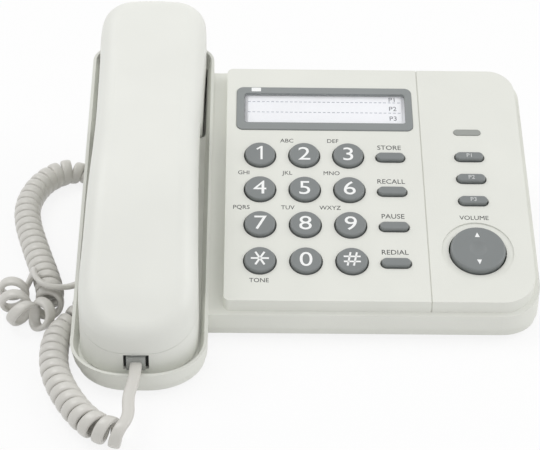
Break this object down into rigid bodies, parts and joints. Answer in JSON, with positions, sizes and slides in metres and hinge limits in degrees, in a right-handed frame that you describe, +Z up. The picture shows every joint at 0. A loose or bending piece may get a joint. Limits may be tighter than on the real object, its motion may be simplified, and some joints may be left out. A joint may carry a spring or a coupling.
{
  "type": "corded desk telephone",
  "caption": "Desk telephone with a handset in a side cradle, a sloped panel of round and pill keys, a volume rocker, an index card, and a coiled handset cord lying on the table.",
  "frame": {"origin": "on the table under the middle of the telephone's footprint, cord left out", "axes": "+X to the user's right, +Y away from the user, +Z up; the panel slopes up towards +Y by 18 degrees"},
  "size_m": [0.2274, 0.2284, 0.078],
  "materials": {
    "case_plastic": "fine satin",
    "handset_plastic": "fine satin",
    "key_plastic": "satin",
    "frame_plastic": "satin",
    "card_paper": "plain paper",
    "clear_plastic": "clear",
    "lens_plastic": "gloss",
    "led_plastic": "gloss",
    "pad_rubber": "matte",
    "board_laminate": "lacquered",
    "steel": "plain",
    "dark_plastic": "satin",
    "foot_rubber": "matte",
    "plug_plastic": "clear moulded",
    "cord_plastic": "gloss"
  },
  "bodies": {
    "base": {"upper_case": "case_plastic", "lower_case": "case_plastic", "handset_hook": "case_plastic", "card_frame": "frame_plastic", "index_card": "card_paper", "card_window": "clear_plastic", "indicator_lens": "lens_plastic", "indicator_led": "led_plastic", "keypad_mat": "pad_rubber", "main_board": "board_laminate", "rocker_pin": "steel", "hook_switch": "dark_plastic", "ringer": "dark_plastic", "line_jack": "dark_plastic", "cord_jack": "dark_plastic", "ringer_switch": "dark_plastic", "dial_switch": "dark_plastic", "feet": "foot_rubber", "case_screws": "steel", "board_screws": "steel", "plug_base": "plug_plastic", "cord_lead_handset": "cord_plastic", "cord_curls": "cord_plastic", "cord_lead_base": "cord_plastic"},
    "handset": {"handset_outer_shell": "handset_plastic", "handset_inner_shell": "handset_plastic", "receiver": "dark_plastic", "receiver_gasket": "foot_rubber", "microphone": "dark_plastic", "mic_boot": "foot_rubber", "handset_jack": "dark_plastic", "handset_weight": "steel", "handset_screws": "steel", "plug_handset": "plug_plastic"},
    "key_1_body": {"key_1": "key_plastic"},
    "key_2_body": {"key_2": "key_plastic"},
    "key_3_body": {"key_3": "key_plastic"},
    "key_4_body": {"key_4": "key_plastic"},
    "key_5_body": {"key_5": "key_plastic"},
    "key_6_body": {"key_6": "key_plastic"},
    "key_7_body": {"key_7": "key_plastic"},
    "key_8_body": {"key_8": "key_plastic"},
    "key_9_body": {"key_9": "key_plastic"},
    "key_star_body": {"key_star": "key_plastic"},
    "key_0_body": {"key_0": "key_plastic"},
    "key_hash_body": {"key_hash": "key_plastic"},
    "fn_key_store_body": {"fn_key_store": "key_plastic"},
    "fn_key_recall_body": {"fn_key_recall": "key_plastic"},
    "fn_key_pause_body": {"fn_key_pause": "key_plastic"},
    "fn_key_redial_body": {"fn_key_redial": "key_plastic"},
    "preset_key_1_body": {"preset_key_1": "key_plastic"},
    "preset_key_2_body": {"preset_key_2": "key_plastic"},
    "preset_key_3_body": {"preset_key_3": "key_plastic"},
    "volume_rocker_body": {"volume_rocker": "key_plastic"},
    "hook_plunger_body": {"hook_plunger": "case_plastic"},
    "ringer_knob_body": {"ringer_knob": "dark_plastic"},
    "dial_mode_knob_body": {"dial_mode_knob": "dark_plastic"}
  },
  "joints": [
    {"name": "handset_lift", "type": "slide", "parent": "base", "child": "handset", "axis": [0, -0.309, 0.9511], "range_m": [0, 0.08], "deforming": ["cord_lead_handset"]},
    {"name": "hook_travel", "type": "slide", "parent": "base", "child": "hook_plunger_body", "axis": [0, -0.309, 0.9511], "range_m": [0, 0.004]},
    {"name": "key_1_press", "type": "slide", "parent": "base", "child": "key_1_body", "axis": [0, 0.309, -0.9511], "range_m": [0, 0.0015], "stiffness_N_per_m": 300, "springref_m": -0.001, "deforming": ["keypad_mat"]},
    {"name": "key_2_press", "type": "slide", "parent": "base", "child": "key_2_body", "axis": [0, 0.309, -0.9511], "range_m": [0, 0.0015], "stiffness_N_per_m": 300, "springref_m": -0.001, "deforming": ["keypad_mat"]},
    {"name": "key_3_press", "type": "slide", "parent": "base", "child": "key_3_body", "axis": [0, 0.309, -0.9511], "range_m": [0, 0.0015], "stiffness_N_per_m": 300, "springref_m": -0.001, "deforming": ["keypad_mat"]},
    {"name": "key_4_press", "type": "slide", "parent": "base", "child": "key_4_body", "axis": [0, 0.309, -0.9511], "range_m": [0, 0.0015], "stiffness_N_per_m": 300, "springref_m": -0.001, "deforming": ["keypad_mat"]},
    {"name": "key_5_press", "type": "slide", "parent": "base", "child": "key_5_body", "axis": [0, 0.309, -0.9511], "range_m": [0, 0.0015], "stiffness_N_per_m": 300, "springref_m": -0.001, "deforming": ["keypad_mat"]},
    {"name": "key_6_press", "type": "slide", "parent": "base", "child": "key_6_body", "axis": [0, 0.309, -0.9511], "range_m": [0, 0.0015], "stiffness_N_per_m": 300, "springref_m": -0.001, "deforming": ["keypad_mat"]},
    {"name": "key_7_press", "type": "slide", "parent": "base", "child": "key_7_body", "axis": [0, 0.309, -0.9511], "range_m": [0, 0.0015], "stiffness_N_per_m": 300, "springref_m": -0.001, "deforming": ["keypad_mat"]},
    {"name": "key_8_press", "type": "slide", "parent": "base", "child": "key_8_body", "axis": [0, 0.309, -0.9511], "range_m": [0, 0.0015], "stiffness_N_per_m": 300, "springref_m": -0.001, "deforming": ["keypad_mat"]},
    {"name": "key_9_press", "type": "slide", "parent": "base", "child": "key_9_body", "axis": [0, 0.309, -0.9511], "range_m": [0, 0.0015], "stiffness_N_per_m": 300, "springref_m": -0.001, "deforming": ["keypad_mat"]},
    {"name": "key_star_press", "type": "slide", "parent": "base", "child": "key_star_body", "axis": [0, 0.309, -0.9511], "range_m": [0, 0.0015], "stiffness_N_per_m": 300, "springref_m": -0.001, "deforming": ["keypad_mat"]},
    {"name": "key_0_press", "type": "slide", "parent": "base", "child": "key_0_body", "axis": [0, 0.309, -0.9511], "range_m": [0, 0.0015], "stiffness_N_per_m": 300, "springref_m": -0.001, "deforming": ["keypad_mat"]},
    {"name": "key_hash_press", "type": "slide", "parent": "base", "child": "key_hash_body", "axis": [0, 0.309, -0.9511], "range_m": [0, 0.0015], "stiffness_N_per_m": 300, "springref_m": -0.001, "deforming": ["keypad_mat"]},
    {"name": "fn_key_store_press", "type": "slide", "parent": "base", "child": "fn_key_store_body", "axis": [0, 0.309, -0.9511], "range_m": [0, 0.0015], "stiffness_N_per_m": 300, "springref_m": -0.001, "deforming": ["keypad_mat"]},
    {"name": "fn_key_recall_press", "type": "slide", "parent": "base", "child": "fn_key_recall_body", "axis": [0, 0.309, -0.9511], "range_m": [0, 0.0015], "stiffness_N_per_m": 300, "springref_m": -0.001, "deforming": ["keypad_mat"]},
    {"name": "fn_key_pause_press", "type": "slide", "parent": "base", "child": "fn_key_pause_body", "axis": [0, 0.309, -0.9511], "range_m": [0, 0.0015], "stiffness_N_per_m": 300, "springref_m": -0.001, "deforming": ["keypad_mat"]},
    {"name": "fn_key_redial_press", "type": "slide", "parent": "base", "child": "fn_key_redial_body", "axis": [0, 0.309, -0.9511], "range_m": [0, 0.0015], "stiffness_N_per_m": 300, "springref_m": -0.001, "deforming": ["keypad_mat"]},
    {"name": "preset_key_1_press", "type": "slide", "parent": "base", "child": "preset_key_1_body", "axis": [0, 0.309, -0.9511], "range_m": [0, 0.0015], "stiffness_N_per_m": 300, "springref_m": -0.001, "deforming": ["keypad_mat"]},
    {"name": "preset_key_2_press", "type": "slide", "parent": "base", "child": "preset_key_2_body", "axis": [0, 0.309, -0.9511], "range_m": [0, 0.0015], "stiffness_N_per_m": 300, "springref_m": -0.001, "deforming": ["keypad_mat"]},
    {"name": "preset_key_3_press", "type": "slide", "parent": "base", "child": "preset_key_3_body", "axis": [0, 0.309, -0.9511], "range_m": [0, 0.0015], "stiffness_N_per_m": 300, "springref_m": -0.001, "deforming": ["keypad_mat"]},
    {"name": "volume_rock", "type": "hinge", "parent": "base", "child": "volume_rocker_body", "pos_m": [0.0704, -0.03087, 0.02277], "axis": [1, 0, 0], "range_deg": [-2.5, 2.5], "stiffness_Nm_per_rad": 0.5},
    {"name": "ringer_knob_slide", "type": "slide", "parent": "base", "child": "ringer_knob_body", "axis": [1, 0, 0], "range_m": [-0.0025, 0.0025]},
    {"name": "dial_mode_knob_slide", "type": "slide", "parent": "base", "child": "dial_mode_knob_body", "axis": [1, 0, 0], "range_m": [-0.0025, 0.0025]}
  ],
  "couplings": [
    {"joint": "hook_travel", "follows": "handset_lift", "ratio": 0.05}
  ]
}
